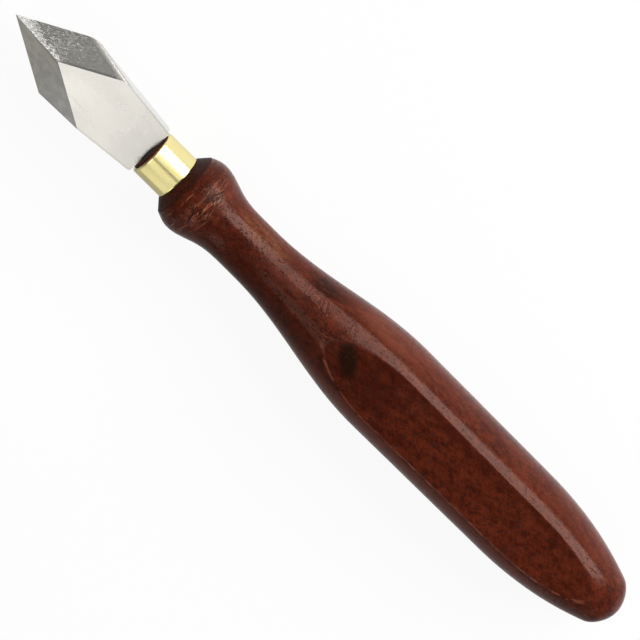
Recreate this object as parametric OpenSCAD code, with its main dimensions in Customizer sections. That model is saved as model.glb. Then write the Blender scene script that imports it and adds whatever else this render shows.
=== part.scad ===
// Spear-point marking knife: a double-bevel steel blade with a flat back, set
// by its tang in a turned hardwood handle with a brass ferrule and two flats.
// Millimetres. The knife lies on its lower flat, its point towards -X and its
// bevels up, with the origin under the middle of its length.

/* [Blade] */
// Blade length from the point to the end of the handle's tenon
blade_length = 39.2; // [32:0.1:55]
// Width across the two shoulders, the widest part of the blade
blade_width = 17; // [13:0.1:20]
// Width of the blade at its base
base_width = 11.7; // [9.5:0.1:12.5]
// Thickness of the blade
blade_thickness = 3; // [2:0.1:3.6]
// Radius of the two corners at the base
base_corner = 0.7; // [0.4:0.1:2.4]
// Angle between the two cutting edges at the point, in degrees
point_angle = 59; // [48:0.5:70]
// Angle of each ground bevel to the flat back, in degrees
bevel_angle = 25.5; // [20:0.5:32]
// Height of the cutting edges, which no stone grinds to nothing
edge_land = 0.04; // [0.02:0.01:0.1]

/* [Tang] */
// Tang length behind the base of the blade
tang_length = 36; // [24:0.5:48]
// Tang width at the base of the blade
tang_width = 5.6; // [4.4:0.1:6.2]
// Tang width at its tip
tang_tip_width = 3.8; // [2.5:0.1:4.2]
// Thickness of the tang, which is filed a little thinner than the blade
tang_thickness = 2.6; // [1.8:0.1:3]
// Bevel on the two corners of the tang's tip
tang_tip_bevel = 1; // [0.2:0.1:1.2]

/* [Adhesive] */
// Least thickness of the adhesive at the tang's corners
glue_line = 0.12; // [0.05:0.01:0.3]
// Depth of the bore past the tip of the tang
bore_spare = 1.5; // [0.5:0.1:4]
// Height of the bead of adhesive squeezed out over the bevelled side
squeeze_out = 1; // [0.2:0.1:1.4]

/* [Ferrule] */
// Outer diameter of the ferrule
ferrule_diameter = 10.8; // [9.8:0.1:11.2]
// Length of the ferrule
ferrule_length = 7.9; // [5:0.1:12]
// Wall of the ferrule
ferrule_wall = 0.75; // [0.5:0.05:0.9]
// Rounding of the ferrule's front edge
ferrule_edge = 0.35; // [0.1:0.05:0.45]
// Length of the wooden tenon that stands out of the ferrule
tenon_proud = 0.4; // [0.1:0.1:1]
// Clearance between the ferrule and the tenon, all round
ferrule_fit = 0.02; // [0.01:0.01:0.05]

/* [Handle] */
// Handle length from its front face to the butt
handle_length = 132.5; // [115:0.5:150]
// Step from the ferrule up to the handle's front face
front_step = 0.3; // [0.1:0.1:0.6]
// Length of the cone at the front of the handle
cone_length = 1.9; // [1:0.1:3]
// Diameter at the large end of the front cone
cone_diameter = 15.6; // [13:0.1:16.5]
// Largest diameter of the rounded bead behind the cone
bead_diameter = 17.6; // [16.6:0.1:18]
// Distance from the front face to the top of the bead
bead_at = 5.4; // [4.5:0.1:7]
// Fullness of the bead: a larger value drops faster to the waist
bead_fullness = 3.1; // [2:0.1:4]
// Diameter of the waist, the thinnest part of the handle
waist_diameter = 12.9; // [11:0.1:15]
// Distance from the front face to the waist
waist_at = 22.5; // [17:0.5:30]
// Diameter where the grip reaches its full size
grip_diameter = 22.3; // [19.5:0.1:25]
// Distance from the front face to the full size of the grip
grip_at = 62.8; // [50:0.5:75]
// Diameter at the rear end of the grip
grip_end_diameter = 21.9; // [19.5:0.1:24]

/* [Butt] */
// Length over which the butt draws in from the grip
butt_length = 32.8; // [24:0.1:38]
// Diameter that the butt draws in to, before its end is rounded
butt_diameter = 9.6; // [6:0.1:14]
// Speed of the drawing in: 2 is a parabola
butt_power = 2.2; // [1.8:0.1:2.6]
// Length of the rounding at the end
butt_round = 4; // [2:0.1:6]

/* [Flats] */
// Distance between the two flats, which face as the blade does
across_flats = 18.3; // [16:0.1:19]
// Distance from the butt at which the flats start to ease towards it
flat_ease = 34; // [26:0.5:44]
// Radius of that easing, along the handle
flat_ease_radius = 230; // [150:5:400]

/* [Hidden] */
$fn = 96;
// Straight steps that stand for one curved stretch of a profile
curve_steps = 24;
small_steps = 8;
// How far a cutting shape reaches past what it cuts
reach = 5;

// Places along the knife, measured from the point
ferrule_start = blade_length + tenon_proud;
front_face = ferrule_start + ferrule_length;
overall_length = front_face + handle_length;
// Height of the knife's axis over the surface that it lies on
axis_height = across_flats / 2;

// Blade
half_point = point_angle / 2;
shoulder_at = blade_width / 2 / tan(half_point);
side_angle = atan((blade_width - base_width) / 2 / (blade_length - shoulder_at));
corner_at = blade_length - base_corner;
corner_side = blade_width / 2 - (corner_at - shoulder_at) * tan(side_angle)
    - base_corner / cos(side_angle);
tang_end = blade_length + tang_length;

// Bore for the tang, and the tenon round it
bore_radius = norm([tang_width, tang_thickness]) / 2 + glue_line;
bore_end = tang_end + bore_spare;
drill_point_angle = 118;
drill_tip = bore_radius / tan(drill_point_angle / 2);
tenon_radius = ferrule_diameter / 2 - ferrule_wall - ferrule_fit;
glue_fit = 0.02;

// A smooth rise from 0 to 1
function ease(t) = (1 - cos(180 * t)) / 2;
function mix(a, b, t) = a + (b - a) * t;

// The handle's turned outline, as [distance from the front face, radius]
bead_curve = [for (i = [0:small_steps]) let (t = i / small_steps)
    [mix(cone_length, bead_at, t), mix(cone_diameter, bead_diameter, sin(90 * t)) / 2]];
waist_curve = [for (i = [1:curve_steps]) let (t = i / curve_steps)
    [mix(bead_at, waist_at, t), mix(waist_diameter, bead_diameter, pow(ease(1 - t), bead_fullness)) / 2]];
grip_curve = [for (i = [1:curve_steps]) let (t = i / curve_steps)
    [mix(waist_at, grip_at, t), mix(waist_diameter, grip_diameter, ease(t)) / 2]];

// The butt runs from t = 0 at the grip to t = 1 at the end
butt_at = handle_length - butt_length;
round_from = 1 - butt_round / butt_length;
function butt_point(t, round_angle) = [
    mix(butt_at, handle_length, t),
    mix(grip_end_diameter, butt_diameter, pow(t, butt_power)) / 2 * cos(round_angle)];
butt_curve = [for (i = [0:curve_steps - 1]) butt_point(round_from * i / curve_steps, 0)];
end_curve = [for (i = [0:2 * small_steps]) let (a = 90 * i / (2 * small_steps))
    butt_point(mix(round_from, 1, sin(a)), a)];

// Turns a profile of [distance along X, radius] about the knife's axis
module turned(profile) {
    rotate([90, 0, 90]) rotate_extrude() polygon([for (p = profile) [p[1], p[0]]]);
}

// Puts what is drawn from the point, about the axis, in the part's own frame
module in_place() {
    translate([-overall_length / 2, 0, axis_height]) children();
}

// One half of the blade's outline, from the point to its base
half_blade = concat(
    [[0, 0], [shoulder_at, blade_width / 2]],
    [for (i = [0:small_steps]) let (a = (90 - side_angle) * (1 - i / small_steps))
        [corner_at + base_corner * cos(a), corner_side + base_corner * sin(a)]]);
// One half of the tang's outline, from inside the blade's base to its tip
half_tang = [
    [blade_length - base_corner, tang_width / 2],
    [tang_end - tang_tip_bevel, tang_tip_width / 2],
    [tang_end, tang_tip_width / 2 - tang_tip_bevel]];

// A plate with the given half outline on both sides of the axis
module plate(half, thickness) {
    other_half = [for (i = [len(half) - 1:-1:0]) if (half[i][1] > 0) [half[i][0], -half[i][1]]];
    linear_extrude(thickness, center = true) polygon(concat(half, other_half));
}

// The space over one bevel, which rises from a cutting edge at the flat back
module above_bevel(side) {
    span = blade_length + blade_width;
    translate([0, 0, edge_land - blade_thickness / 2]) rotate([0, 0, side * half_point])
        rotate([-side * bevel_angle, 0, 0])
            translate([-reach, -span, 0]) cube([span + reach, 2 * span, span]);
}

module blade_solid() {
    difference() {
        union() {
            plate(half_blade, blade_thickness);
            plate(half_tang, tang_thickness);
        }
        for (side = [-1, 1]) above_bevel(side);
    }
}

module blade() {
    color("gainsboro") in_place() blade_solid();
}

// Adhesive that fills the bore round the tang. The bead that it forms at the
// blade's base is wiped off the flat back, which has to slide along a rule.
module tang_epoxy() {
    fill = bore_radius - glue_fit;
    color("#241a12") in_place() difference() {
        turned([
            [blade_length - squeeze_out, 0],
            [blade_length - squeeze_out, fill - squeeze_out],
            [blade_length, fill],
            [bore_end, fill],
            [bore_end + drill_tip - glue_fit, 0]]);
        translate([blade_length - reach, -bore_radius, -2 * bore_radius])
            cube([reach, 2 * bore_radius, 2 * bore_radius]);
        blade_solid();
    }
}

module ferrule() {
    outer = ferrule_diameter / 2;
    inner = outer - ferrule_wall;
    front_edge = [for (i = [0:small_steps]) let (a = 90 * i / small_steps)
        [ferrule_start + ferrule_edge * (1 - sin(a)), outer - ferrule_edge * (1 - cos(a))]];
    color("#d9bd62") in_place() turned(concat(
        [[front_face, inner], [front_face, outer]], front_edge, [[ferrule_start, inner]]));
}

// What is cut away over a flat: level along the grip, then eased to the butt
module above_flat() {
    ease_at = overall_length - flat_ease;
    steps = 2 * small_steps;
    eased = [for (i = [0:steps]) let (x = (flat_ease + reach) * i / steps)
        [ease_at + x, axis_height - flat_ease_radius + sqrt(pow(flat_ease_radius, 2) - x * x)]];
    top = grip_diameter;
    rotate([90, 0, 0]) linear_extrude(2 * grip_diameter, center = true)
        polygon(concat(
            [[front_face + waist_at, axis_height]], eased,
            [[overall_length + reach, top], [front_face + waist_at, top]]));
}

module handle() {
    front_radius = ferrule_diameter / 2 + front_step;
    outline = concat([[0, front_radius]], bead_curve, waist_curve, grip_curve, butt_curve, end_curve);
    on_knife = [for (p = outline) [front_face + p[0], p[1]]];
    tenon = [[blade_length, 0], [blade_length, tenon_radius], [front_face, tenon_radius]];
    bore = [
        [blade_length - reach, 0],
        [blade_length - reach, bore_radius],
        [bore_end, bore_radius],
        [bore_end + drill_tip, 0]];
    color("#5a1e12") in_place() difference() {
        turned(concat(tenon, on_knife));
        turned(bore);
        for (side = [0, 180]) rotate([side, 0, 0]) above_flat();
    }
}

blade();
tang_epoxy();
ferrule();
handle();
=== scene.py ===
"""Spear-point marking knife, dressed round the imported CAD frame.

A ground steel blade, the adhesive that beds its tang, a brass ferrule and a turned
rosewood handle with two flats. Sizes are in millimetres, measured from the point along
the knife's axis, and are the same as in the part's source.
"""
import math
from functools import reduce
from types import SimpleNamespace

import bmesh
import bpy
from mathutils import Matrix, Vector


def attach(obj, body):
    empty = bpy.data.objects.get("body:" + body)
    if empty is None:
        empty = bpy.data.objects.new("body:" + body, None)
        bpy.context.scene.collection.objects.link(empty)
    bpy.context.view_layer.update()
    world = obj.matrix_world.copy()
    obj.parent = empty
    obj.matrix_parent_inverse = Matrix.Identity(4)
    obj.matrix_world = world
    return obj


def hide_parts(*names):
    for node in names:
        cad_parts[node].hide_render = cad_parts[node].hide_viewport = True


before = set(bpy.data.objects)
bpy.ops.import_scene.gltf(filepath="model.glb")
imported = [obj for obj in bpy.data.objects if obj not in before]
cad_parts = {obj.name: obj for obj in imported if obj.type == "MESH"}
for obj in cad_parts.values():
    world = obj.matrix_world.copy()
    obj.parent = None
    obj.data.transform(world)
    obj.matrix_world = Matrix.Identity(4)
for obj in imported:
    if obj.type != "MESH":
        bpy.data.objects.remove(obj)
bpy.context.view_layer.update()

MM = 0.001

# Blade and tang
BLADE_LENGTH = 39.2
BLADE_WIDTH = 17.0
BASE_WIDTH = 11.7
BLADE_THICKNESS = 3.0
BASE_CORNER = 0.7
HALF_POINT = math.radians(59.0 / 2)
BEVEL_ANGLE = math.radians(25.5)
EDGE_LAND = 0.04
TANG_LENGTH = 36.0
TANG_WIDTH = 5.6
TANG_TIP_WIDTH = 3.8
TANG_THICKNESS = 2.6
TANG_TIP_BEVEL = 1.0
BLADE_EDGE_SOFTNESS = 0.14
# How far the edge between a bevel and the blade's side is rubbed round, on the bevel and on the side:
# much at the far side (1), little at the near one (-1)
BLADE_SIDE_SOFTNESS = {1: (2.2, 1.6), -1: (0.3, 0.3)}

# Adhesive
GLUE_LINE = 0.12
BORE_SPARE = 1.5
GLUE_FIT = 0.02
DROP_RUN = 0.4
DROP_HALF_WIDTH = 2.62
DROP_SHIFT = -0.4
ADHESIVE_CREASE = math.radians(40)
DRILL_POINT = math.radians(118.0 / 2)
# Share of the drilled point that the adhesive leaves blunt
BED_BLUNT = 0.03

# Ferrule
FERRULE_DIAMETER = 10.8
FERRULE_LENGTH = 7.9
FERRULE_WALL = 0.75
FERRULE_EDGE = 0.35
FERRULE_BACK_EDGE = 0.1
FERRULE_MOUTH_EDGE = 0.08
FERRULE_FIT = 0.02
TENON_PROUD = 0.4

# Handle, measured from its front face
HANDLE_LENGTH = 132.5
FRONT_STEP = 0.3
CONE_LENGTH = 1.9
CONE_DIAMETER = 15.6
BEAD_DIAMETER = 17.6
BEAD_AT = 5.4
BEAD_FULLNESS = 3.1
WAIST_DIAMETER = 12.9
WAIST_AT = 22.5
GRIP_DIAMETER = 22.3
GRIP_AT = 62.8
GRIP_END_DIAMETER = 21.9
BUTT_LENGTH = 32.8
BUTT_DIAMETER = 9.6
BUTT_POWER = 2.2
BUTT_ROUND = 4.0
# Roundings of the tenon's end, the front face and the end of the cone
TENON_EDGE = 0.15
FRONT_FACE_EDGE = 0.2
CONE_EDGE = 0.14

# Flats
ACROSS_FLATS = 18.3
FLAT_EASE = 34.0
FLAT_EASE_RADIUS = 230.0
ARRIS_SOFTNESS = 0.4

# Places along the knife that follow from the sizes
FERRULE_START = BLADE_LENGTH + TENON_PROUD
FRONT_FACE = FERRULE_START + FERRULE_LENGTH
OVERALL_LENGTH = FRONT_FACE + HANDLE_LENGTH
AXIS_HEIGHT = ACROSS_FLATS / 2
TANG_END = BLADE_LENGTH + TANG_LENGTH
BORE_RADIUS = math.hypot(TANG_WIDTH, TANG_THICKNESS) / 2 + GLUE_LINE
BORE_END = TANG_END + BORE_SPARE
DRILL_TIP = BORE_RADIUS / math.tan(DRILL_POINT)
TENON_RADIUS = FERRULE_DIAMETER / 2 - FERRULE_WALL - FERRULE_FIT


def in_frame(along, across, height):
    """A point given from the knife's point and axis, in the CAD frame, in metres."""
    return Vector(((along - OVERALL_LENGTH / 2) * MM, across * MM, (height + AXIS_HEIGHT) * MM))


def ease(t):
    return (1 - math.cos(math.pi * t)) / 2


def mix(a, b, t):
    return a + (b - a) * t


class Field:
    """A value in a node tree. Arithmetic on it adds Math nodes to that tree."""

    def __init__(self, tree, socket):
        self.tree = tree
        self.socket = socket

    def math(self, operation, *others):
        node = self.tree.nodes.new("ShaderNodeMath")
        node.operation = operation
        for socket, value in zip(node.inputs, (self, *others)):
            feed(self.tree, value, socket)
        return Field(self.tree, node.outputs[0])

    def __add__(self, other):
        return self.math("ADD", other)

    def __sub__(self, other):
        return self.math("SUBTRACT", other)

    def __rsub__(self, other):
        return self.math("MULTIPLY_ADD", -1.0, other)

    def __mul__(self, other):
        return self.math("MULTIPLY", other)

    def __truediv__(self, other):
        return self.math("DIVIDE", other)

    def at_least(self, other):
        return self.math("MAXIMUM", other)

    def size(self):
        return self.math("ABSOLUTE")

    def ramp(self, low, high):
        """0 below low, 1 above high, and a smooth rise between them."""
        node = self.tree.nodes.new("ShaderNodeMapRange")
        node.interpolation_type = "SMOOTHSTEP"
        feed(self.tree, self, node.inputs["Value"])
        feed(self.tree, low, node.inputs["From Min"])
        feed(self.tree, high, node.inputs["From Max"])
        return Field(self.tree, node.outputs["Result"])


def feed(tree, value, socket):
    """Links a field or a socket to an input, or sets a plain value on it."""
    if isinstance(value, Field):
        tree.links.new(value.socket, socket)
    elif isinstance(value, bpy.types.NodeSocket):
        tree.links.new(value, socket)
    else:
        socket.default_value = value


def add_node(tree, kind, inputs=None, **settings):
    node = tree.nodes.new(kind)
    for name, value in settings.items():
        setattr(node, name, value)
    for name, value in (inputs or {}).items():
        feed(tree, value, node.inputs[name])
    return node


def add_sockets(tree, direction, sockets):
    for name, kind in sockets.items():
        tree.interface.new_socket(name=name, in_out=direction, socket_type=kind)


# Turned pieces


def turned_grid(tree, profile, segments):
    """A grid with a row for each point of the profile and a column for each turn about the axis.

    Returns its mesh, and fields of the distance, the radius and the turn of each grid point.
    """
    rows = add_node(tree, "GeometryNodeAttributeDomainSize", {"Geometry": profile})
    columns = segments + 1.0
    grid = add_node(tree, "GeometryNodeMeshGrid", {
        "Vertices X": rows.outputs["Point Count"], "Vertices Y": columns})
    index = Field(tree, add_node(tree, "GeometryNodeInputIndex").outputs[0])
    row = (index / columns).math("FLOOR")
    turn = (index - row * columns) / segments * (2 * math.pi)
    place = add_node(tree, "GeometryNodeInputPosition")
    point = add_node(tree, "GeometryNodeSampleIndex", {
        "Geometry": profile, "Value": place.outputs[0], "Index": row}, data_type="FLOAT_VECTOR")
    split = add_node(tree, "ShaderNodeSeparateXYZ", {"Vector": point.outputs["Value"]})
    along = Field(tree, split.outputs["X"])
    radius = Field(tree, split.outputs["Y"])
    return grid.outputs["Mesh"], along, radius, turn


def turning_waves(tree, along, across, height, wave_length):
    """Slight waves of about the given length over a turned surface, from -0.5 to 0.5."""
    place = add_node(tree, "ShaderNodeCombineXYZ", {
        "X": along / wave_length, "Y": across / wave_length, "Z": height / wave_length})
    waves = add_node(tree, "ShaderNodeTexNoise", {
        "Vector": place.outputs[0], "Scale": 1.0, "Detail": 1.0})
    return Field(tree, waves.outputs[0]) - 0.5


def planed(height, along, flat_distance, ease_from, ease_radius, softness):
    """The height of a turned surface once two flats are planed on it, which ease towards the butt."""
    eased = (along - ease_from).at_least(0.0)
    drop = ease_radius - (ease_radius * ease_radius - eased * eased).math("SQRT")
    flat = flat_distance - drop
    height = height.math("SMOOTH_MIN", flat, softness)
    return height.math("SMOOTH_MAX", flat * -1.0, softness)


def make_turning_tree():
    """Turns a row of points (distance, radius) about the knife's axis, and planes two flats on it."""
    tree = bpy.data.node_groups.new("turned_piece", "GeometryNodeTree")
    tree.is_modifier = True
    add_sockets(tree, "INPUT", {
        "Profile": "NodeSocketGeometry",
        "Segments": "NodeSocketInt",
        "Axis height": "NodeSocketFloat",
        "Flat distance": "NodeSocketFloat",
        "Flat ease from": "NodeSocketFloat",
        "Flat ease radius": "NodeSocketFloat",
        "Arris softness": "NodeSocketFloat",
        "Waviness": "NodeSocketFloat",
        "Wave length": "NodeSocketFloat",
        "Material": "NodeSocketMaterial"})
    add_sockets(tree, "OUTPUT", {"Piece": "NodeSocketGeometry"})
    given = add_node(tree, "NodeGroupInput").outputs

    def value(name):
        return Field(tree, given[name])

    mesh, along, radius, turn = turned_grid(tree, given["Profile"], value("Segments"))
    across_unit = turn.math("COSINE")
    height_unit = turn.math("SINE")
    wave = turning_waves(
        tree, along, across_unit * radius, height_unit * radius, value("Wave length"))
    whole_wave_from = 2 * MM
    radius = radius + wave * value("Waviness") * radius.ramp(0.0, whole_wave_from)
    height = planed(
        height_unit * radius, along, value("Flat distance"), value("Flat ease from"),
        value("Flat ease radius"), value("Arris softness"))
    turned = add_node(tree, "ShaderNodeCombineXYZ", {
        "X": along, "Y": across_unit * radius, "Z": height + value("Axis height")})
    placed = add_node(tree, "GeometryNodeSetPosition", {
        "Geometry": mesh, "Position": turned.outputs[0]})
    seam_gap = 0.0005 * MM
    closed = add_node(tree, "GeometryNodeMergeByDistance", {
        "Geometry": placed.outputs[0], "Distance": seam_gap})
    outward = add_node(tree, "GeometryNodeFlipFaces", {"Mesh": closed.outputs[0]})
    smooth = add_node(tree, "GeometryNodeSetShadeSmooth", {"Geometry": outward.outputs[0]})
    real = add_node(tree, "GeometryNodeRealizeInstances", {"Geometry": smooth.outputs[0]})
    finished = add_node(tree, "GeometryNodeSetMaterial", {
        "Geometry": real.outputs[0], "Material": given["Material"]})
    add_node(tree, "NodeGroupOutput", {"Piece": finished.outputs[0]})
    return tree


def set_inputs(modifier, values):
    """Sets a Geometry Nodes modifier's inputs by their names in the tree."""
    for item in modifier.node_group.interface.items_tree:
        if item.item_type == "SOCKET" and item.in_out == "INPUT" and item.name in values:
            modifier[item.identifier] = values[item.name]


def new_piece(name, mesh):
    piece = bpy.data.objects.new(name, mesh)
    bpy.context.scene.collection.objects.link(piece)
    return piece


def bake_modifiers(piece):
    """Makes the result of a piece's modifiers its own plain mesh."""
    depsgraph = bpy.context.evaluated_depsgraph_get()
    mesh = bpy.data.meshes.new_from_object(piece.evaluated_get(depsgraph))
    piece.modifiers.clear()
    piece.data = mesh
    mesh.name = piece.name


def turned_piece(name, profile, material, segments, waviness, wave_length):
    """A piece turned from a profile of (distance from the knife's point, radius), in millimetres."""
    mesh = bpy.data.meshes.new(name)
    points = [((along - OVERALL_LENGTH / 2) * MM, radius * MM, 0.0) for along, radius in profile]
    mesh.from_pydata(points, [], [])
    piece = new_piece(name, mesh)
    turning = piece.modifiers.new("turning", "NODES")
    turning.node_group = TURNING
    set_inputs(turning, {
        "Segments": segments,
        "Axis height": AXIS_HEIGHT * MM,
        "Flat distance": ACROSS_FLATS / 2 * MM,
        "Flat ease from": (OVERALL_LENGTH / 2 - FLAT_EASE) * MM,
        "Flat ease radius": FLAT_EASE_RADIUS * MM,
        "Arris softness": ARRIS_SOFTNESS * MM,
        "Waviness": waviness * MM,
        "Wave length": wave_length * MM,
        "Material": material})
    bake_modifiers(piece)
    return piece


def rounded(profile, radii, steps=5):
    """The profile with the corners that radii names by their place in it rounded off."""
    points = []
    for place, corner in enumerate(profile):
        if place not in radii:
            points.append(corner)
            continue
        here = Vector(corner)
        before = (Vector(profile[place - 1]) - here).normalized() * radii[place]
        after = (Vector(profile[place + 1]) - here).normalized() * radii[place]
        for step in range(steps + 1):
            t = step / steps
            point = here + before * (1 - t) ** 2 + after * t ** 2
            points.append((point.x, point.y))
    return points


def stretch(count, start, end, radius_at, first=1):
    """Profile points from start to end, with the radius that a rule gives for t from 0 to 1."""
    return [(mix(start, end, i / count), radius_at(i / count)) for i in range(first, count + 1)]


def handle_profile():
    """The turned handle from the tip of its bore, over the tenon and the bead, to the butt."""
    bead = stretch(20, CONE_LENGTH, BEAD_AT, lambda t: mix(
        CONE_DIAMETER, BEAD_DIAMETER, math.sin(math.pi / 2 * t)) / 2)
    waist = stretch(40, BEAD_AT, WAIST_AT, lambda t: mix(
        WAIST_DIAMETER, BEAD_DIAMETER, ease(1 - t) ** BEAD_FULLNESS) / 2)
    grip = stretch(76, WAIST_AT, GRIP_AT, lambda t: mix(WAIST_DIAMETER, GRIP_DIAMETER, ease(t)) / 2)
    butt_at = HANDLE_LENGTH - BUTT_LENGTH
    body = stretch(36, GRIP_AT, butt_at, lambda t: mix(GRIP_DIAMETER, GRIP_END_DIAMETER, t) / 2)

    def butt_radius(t):
        return mix(GRIP_END_DIAMETER, BUTT_DIAMETER, t ** BUTT_POWER) / 2

    round_from = 1 - BUTT_ROUND / BUTT_LENGTH
    butt = stretch(48, butt_at, mix(butt_at, HANDLE_LENGTH, round_from),
                   lambda t: butt_radius(round_from * t))
    end_steps = 24
    end = []
    for i in range(1, end_steps + 1):
        angle = math.pi / 2 * i / end_steps
        t = mix(round_from, 1, math.sin(angle))
        end.append((mix(butt_at, HANDLE_LENGTH, t), butt_radius(t) * math.cos(angle)))
    end[-1] = (HANDLE_LENGTH, 0.0)
    front = rounded([
        (BORE_END + DRILL_TIP - FRONT_FACE, 0.0),
        (BORE_END - FRONT_FACE, BORE_RADIUS),
        (BLADE_LENGTH - FRONT_FACE, BORE_RADIUS),
        (BLADE_LENGTH - FRONT_FACE, TENON_RADIUS),
        (0.0, TENON_RADIUS),
        (0.0, FERRULE_DIAMETER / 2 + FRONT_STEP),
        (CONE_LENGTH, CONE_DIAMETER / 2),
        bead[0]], {3: TENON_EDGE, 5: FRONT_FACE_EDGE, 6: CONE_EDGE})
    outline = front[:-1] + bead + waist + grip + body + butt + end
    return [(FRONT_FACE + along, radius) for along, radius in outline]


def ferrule_profile():
    """The ferrule's wall as a closed loop."""
    outer = FERRULE_DIAMETER / 2
    inner = outer - FERRULE_WALL
    barrel = stretch(24, FERRULE_START + FERRULE_EDGE, FRONT_FACE - FERRULE_BACK_EDGE,
                     lambda t: outer, first=0)
    edge = []
    edge_steps = 8
    for i in range(edge_steps):
        angle = math.pi / 2 * i / edge_steps
        edge.append((FERRULE_START + FERRULE_EDGE * (1 - math.sin(angle)),
                     outer - FERRULE_EDGE * (1 - math.cos(angle))))
    mouth = rounded([
        (FERRULE_START, outer - FERRULE_EDGE), (FERRULE_START, inner), (FRONT_FACE, inner)],
        {1: FERRULE_MOUTH_EDGE})
    back = [(FRONT_FACE, outer - FERRULE_BACK_EDGE)]
    loop = barrel + back + mouth[::-1] + edge[::-1][:-1]
    return loop + loop[:1]


# Blade


def bevelled_plan():
    """Named points of the blade's plan on one side, as (along, across)."""
    shoulder = Vector((BLADE_WIDTH / 2 / math.tan(HALF_POINT), BLADE_WIDTH / 2))
    base = Vector((BLADE_LENGTH, BASE_WIDTH / 2))
    flank = (base - shoulder).normalized()
    side_angle = -math.atan2(flank.y, flank.x)
    bevel_reach = (BLADE_THICKNESS - EDGE_LAND) / math.tan(BEVEL_ANGLE)
    ridge_end = bevel_reach / math.sin(HALF_POINT)
    bevel_end = shoulder + flank * bevel_reach / math.sin(HALF_POINT + side_angle)
    corner_at = BLADE_LENGTH - BASE_CORNER
    corner_side = (BLADE_WIDTH / 2 - (corner_at - shoulder.x) * math.tan(side_angle)
                   - BASE_CORNER / math.cos(side_angle))
    arc = []
    arc_steps = 4
    for i in range(arc_steps + 1):
        angle = (math.pi / 2 - side_angle) * (1 - i / arc_steps)
        arc.append(Vector((corner_at + BASE_CORNER * math.cos(angle),
                           corner_side + BASE_CORNER * math.sin(angle))))
    return shoulder, ridge_end, bevel_end, arc


FACE, LEFT_BEVEL, RIGHT_BEVEL, FLANK, RUBBED_EDGE = range(5)


def softened(corner, before, after, reach, steps=9):
    """Points of a rounding at a corner, which reaches two lengths in mm towards its two neighbours."""
    back = (before - corner).normalized() * reach[0] * MM
    ahead = (after - corner).normalized() * reach[1] * MM
    shares = [i / steps for i in range(steps + 1)]
    return [corner + back * (1 - t) ** 2 + ahead * t ** 2 for t in shares]


def add_vert(shape, along, across, height):
    return shape.verts.new(in_frame(along, across, height))


def add_face(shape, corners, finish):
    made = shape.faces.new(corners)
    made.material_index = finish
    made.smooth = True
    return made


def add_tang(shape, base_ring):
    """The tang, from the four corners of the blade's base to its bevelled tip."""
    half = TANG_THICKNESS / 2
    stations = [(BLADE_LENGTH, TANG_WIDTH / 2),
                (TANG_END - TANG_TIP_BEVEL, TANG_TIP_WIDTH / 2),
                (TANG_END, TANG_TIP_WIDTH / 2 - TANG_TIP_BEVEL)]
    rings = [base_ring]
    for along, width in stations:
        corners = ((width, half), (-width, half), (-width, -half), (width, -half))
        rings.append([add_vert(shape, along, across, height) for across, height in corners])
    for ring, after in zip(rings, rings[1:]):
        for i in range(4):
            add_face(shape, [ring[i - 1], ring[i], after[i], after[i - 1]], FLANK)
    add_face(shape, rings[-1], FLANK)


def mark_edges(shape, soft_edges, rounds):
    """Marks the edges that are rubbed round. Others stay sharp, apart from those in a rounding."""
    weight = shape.edges.layers.float.new("bevel_weight_edge")
    for pair in soft_edges:
        shape.edges.get(pair)[weight] = 1.0
    for edge in shape.edges:
        edge.smooth = edge[weight] > 0 or all(near in rounds for near in edge.link_faces)


def blade_mesh():
    """The ground blade with its tang, as one closed mesh."""
    shoulder, ridge_end, bevel_end, arc = bevelled_plan()
    half = BLADE_THICKNESS / 2
    shape = bmesh.new()
    point = add_vert(shape, 0, 0, -half)
    ridge = add_vert(shape, ridge_end, 0, half)
    rounds = []
    soft_edges = [(point, ridge)]
    sides = {}
    for side in (1, -1):
        top = [add_vert(shape, p.x, side * p.y, half) for p in arc]
        under = [add_vert(shape, p.x, side * p.y, -half) for p in arc]
        reach = BLADE_SIDE_SOFTNESS[side]
        tip_corner = in_frame(shoulder.x, side * shoulder.y, -half)
        end_corner = in_frame(bevel_end.x, side * bevel_end.y, half)
        tip = [shape.verts.new(p) for p in softened(tip_corner, point.co, under[0].co, reach)]
        end = [shape.verts.new(p) for p in softened(end_corner, ridge.co, top[0].co, reach)]
        sides[side] = (tip, end, top, under)
        bevel = RIGHT_BEVEL if side > 0 else LEFT_BEVEL
        add_face(shape, [point, tip[0], end[0], ridge], bevel)
        add_face(shape, [tip[-1], under[0], top[0], end[-1]], FLANK)
        for low, high, finish in ((tip, end, RUBBED_EDGE), (under, top, FLANK)):
            for i in range(len(low) - 1):
                corners = [low[i], low[i + 1], high[i + 1], high[i]]
                rounds.append(add_face(shape, corners, finish))
        soft_edges += [(ridge, end[0]), (end[-1], top[0])] + list(zip(top, top[1:]))
    tip_a, end_a, top_a, under_a = sides[1]
    tip_b, end_b, top_b, under_b = sides[-1]
    add_face(shape, [ridge, *end_a, *top_a, *top_b[::-1], *end_b[::-1]], FACE)
    add_face(shape, [point, *tip_a, *under_a, *under_b[::-1], *tip_b[::-1]], FACE)
    soft_edges.append((top_a[-1], top_b[-1]))
    add_tang(shape, [top_a[-1], top_b[-1], under_b[-1], under_a[-1]])
    mark_edges(shape, soft_edges, rounds)
    bmesh.ops.recalc_face_normals(shape, faces=shape.faces)
    mesh = bpy.data.meshes.new("blade_ground")
    shape.to_mesh(mesh)
    shape.free()
    return mesh


def make_blade(finishes):
    """The ground blade with the edges of its bevels and of its face rubbed a little round."""
    piece = new_piece("blade_ground", blade_mesh())
    for finish in finishes:
        piece.data.materials.append(finish)
    rubbing = piece.modifiers.new("rubbing", "BEVEL")
    rubbing.width = BLADE_EDGE_SOFTNESS * MM
    rubbing.segments = 4
    rubbing.limit_method = "WEIGHT"
    rubbing.material = RUBBED_EDGE
    rubbing.harden_normals = True
    bake_modifiers(piece)
    return piece


# Adhesive


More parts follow.
